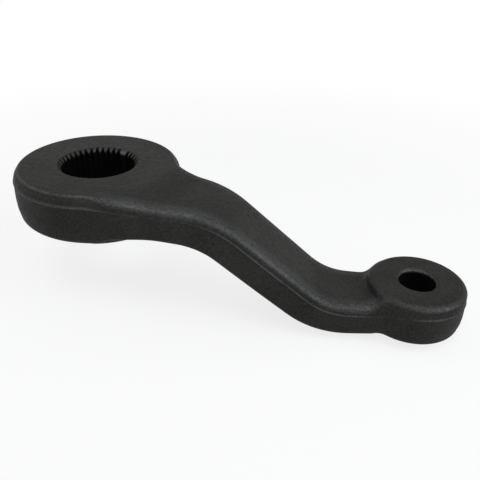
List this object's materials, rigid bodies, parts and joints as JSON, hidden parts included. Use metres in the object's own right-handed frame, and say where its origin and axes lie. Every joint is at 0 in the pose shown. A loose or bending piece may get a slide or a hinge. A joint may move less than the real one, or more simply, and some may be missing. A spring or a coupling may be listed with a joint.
{
  "type": "pitman arm",
  "caption": "Forged steel steering arm with a serrated eye for the sector shaft, an S-shaped drop and a plain eye for the link stud.",
  "frame": {"origin": "centre of the serrated bore in the plane of the big eye's upper face", "axes": "+Z along the serrated bore, out of the upper face; +X along the arm, towards the small eye"},
  "size_m": [0.1991, 0.0742, 0.0603],
  "materials": {
    "forged_steel": "satin black over a forged skin"
  },
  "bodies": {
    "root": {"pitman_arm": "forged_steel"}
  },
  "joints": []
}
